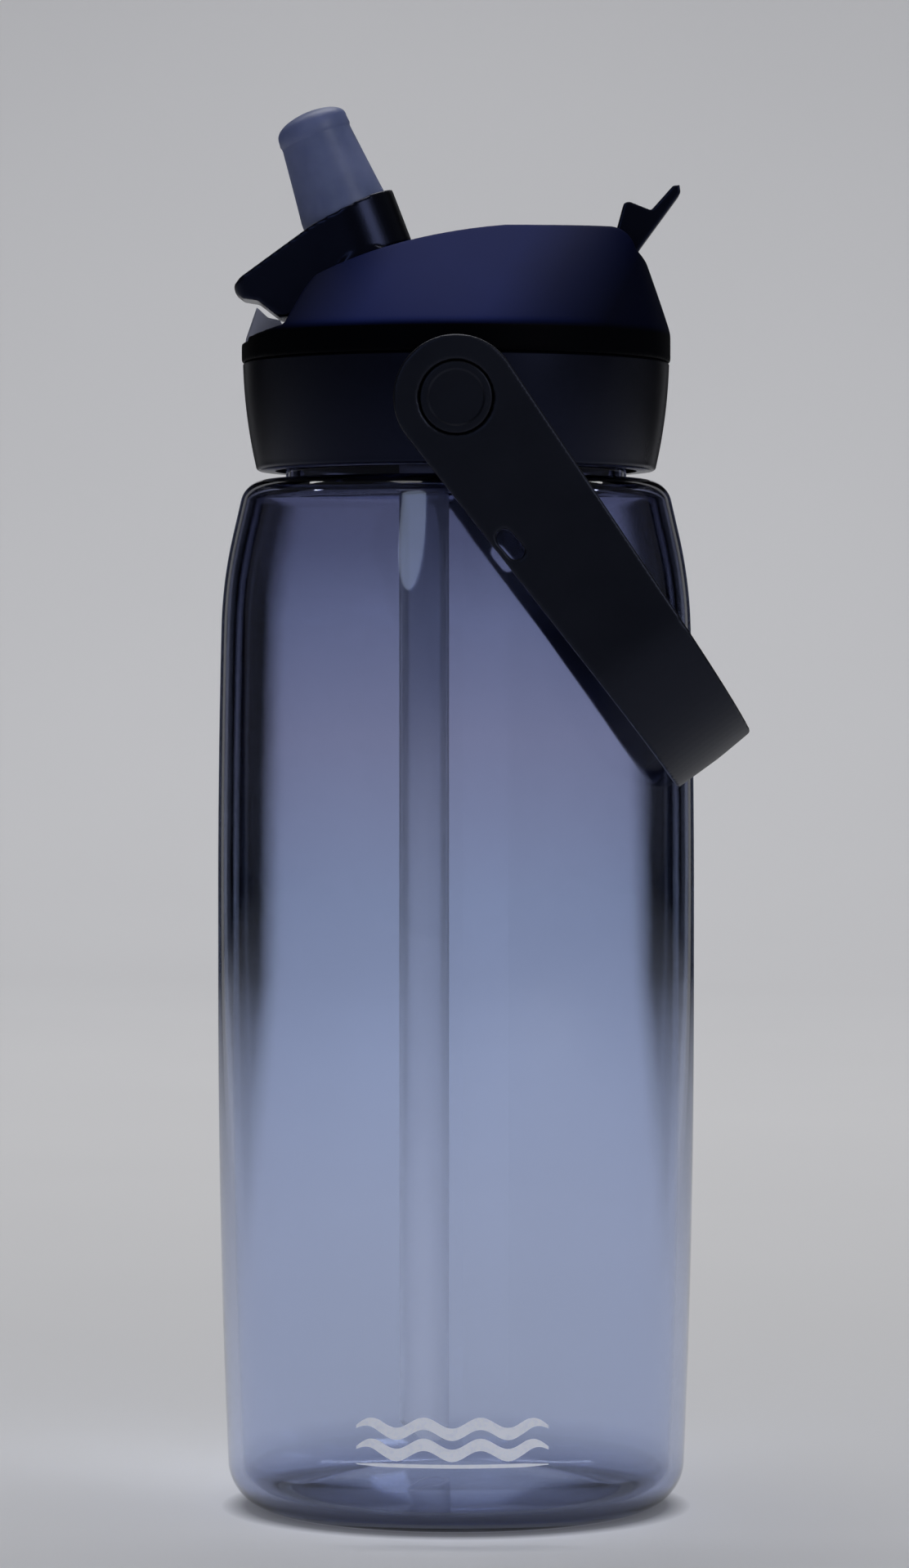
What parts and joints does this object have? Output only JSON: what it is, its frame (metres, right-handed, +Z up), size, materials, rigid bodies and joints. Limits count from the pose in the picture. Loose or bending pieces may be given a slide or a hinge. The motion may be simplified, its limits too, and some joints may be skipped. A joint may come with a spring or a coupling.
{
  "type": "flip-straw hydration bottle",
  "caption": "Translucent wide-mouth drinking bottle with a screw lid, flip-up bite-valve spout, drinking straw and swinging bail handle.",
  "frame": {"origin": "on the bottle's axis, in the plane that its foot ring stands on", "axes": "+Z up the bottle's axis, -X the way the open spout leans, +X the side on which the handle rests, Y along the spout's and the handle's hinge lines"},
  "size_m": [0.1004, 0.0986, 0.2678],
  "materials": {
    "body_tint": "clear, lightly tinted, polished",
    "black_moulding": "satin, fine spark texture",
    "handle_moulding": "satin",
    "valve_silicone": "soft, translucent",
    "seal_silicone": "soft, milky",
    "straw_tube": "clear, tinted"
  },
  "bodies": {
    "bottle": {"bottle_body": "body_tint"},
    "gasket_ring": {"neck_gasket": "seal_silicone"},
    "lid": {"screw_collar": "black_moulding", "lid_deck": "black_moulding", "lid_cover": "black_moulding", "rear_tab": "black_moulding", "front_bumper": "valve_silicone", "vent_valve": "seal_silicone", "spout_seal": "seal_silicone", "straw": "straw_tube", "pivot_stud_left": "handle_moulding", "pivot_stud_right": "handle_moulding"},
    "spout": {"flip_spout": "black_moulding", "bite_valve": "valve_silicone"},
    "bail": {"handle": "handle_moulding"}
  },
  "joints": [
    {"name": "lid_lift", "type": "slide", "parent": "bottle", "child": "gasket_ring", "axis": [0, 0, 1], "range_m": [0, 0.0076]},
    {"name": "lid_turn", "type": "hinge", "parent": "gasket_ring", "child": "lid", "pos_m": [0, 0, 0.205], "axis": [0, 0, 1], "range_deg": [0, 450]},
    {"name": "spout_flip", "type": "hinge", "parent": "lid", "child": "spout", "pos_m": [-0.01565, 0, 0.2325], "axis": [0, 1, 0], "range_deg": [0, 111]},
    {"name": "handle_swing", "type": "hinge", "parent": "lid", "child": "bail", "pos_m": [0, 0, 0.2093], "axis": [0, -1, 0], "range_deg": [0, 278]}
  ],
  "couplings": [
    {"joint": "lid_lift", "follows": "lid_turn", "m_per_rad": 0.00095493}
  ]
}
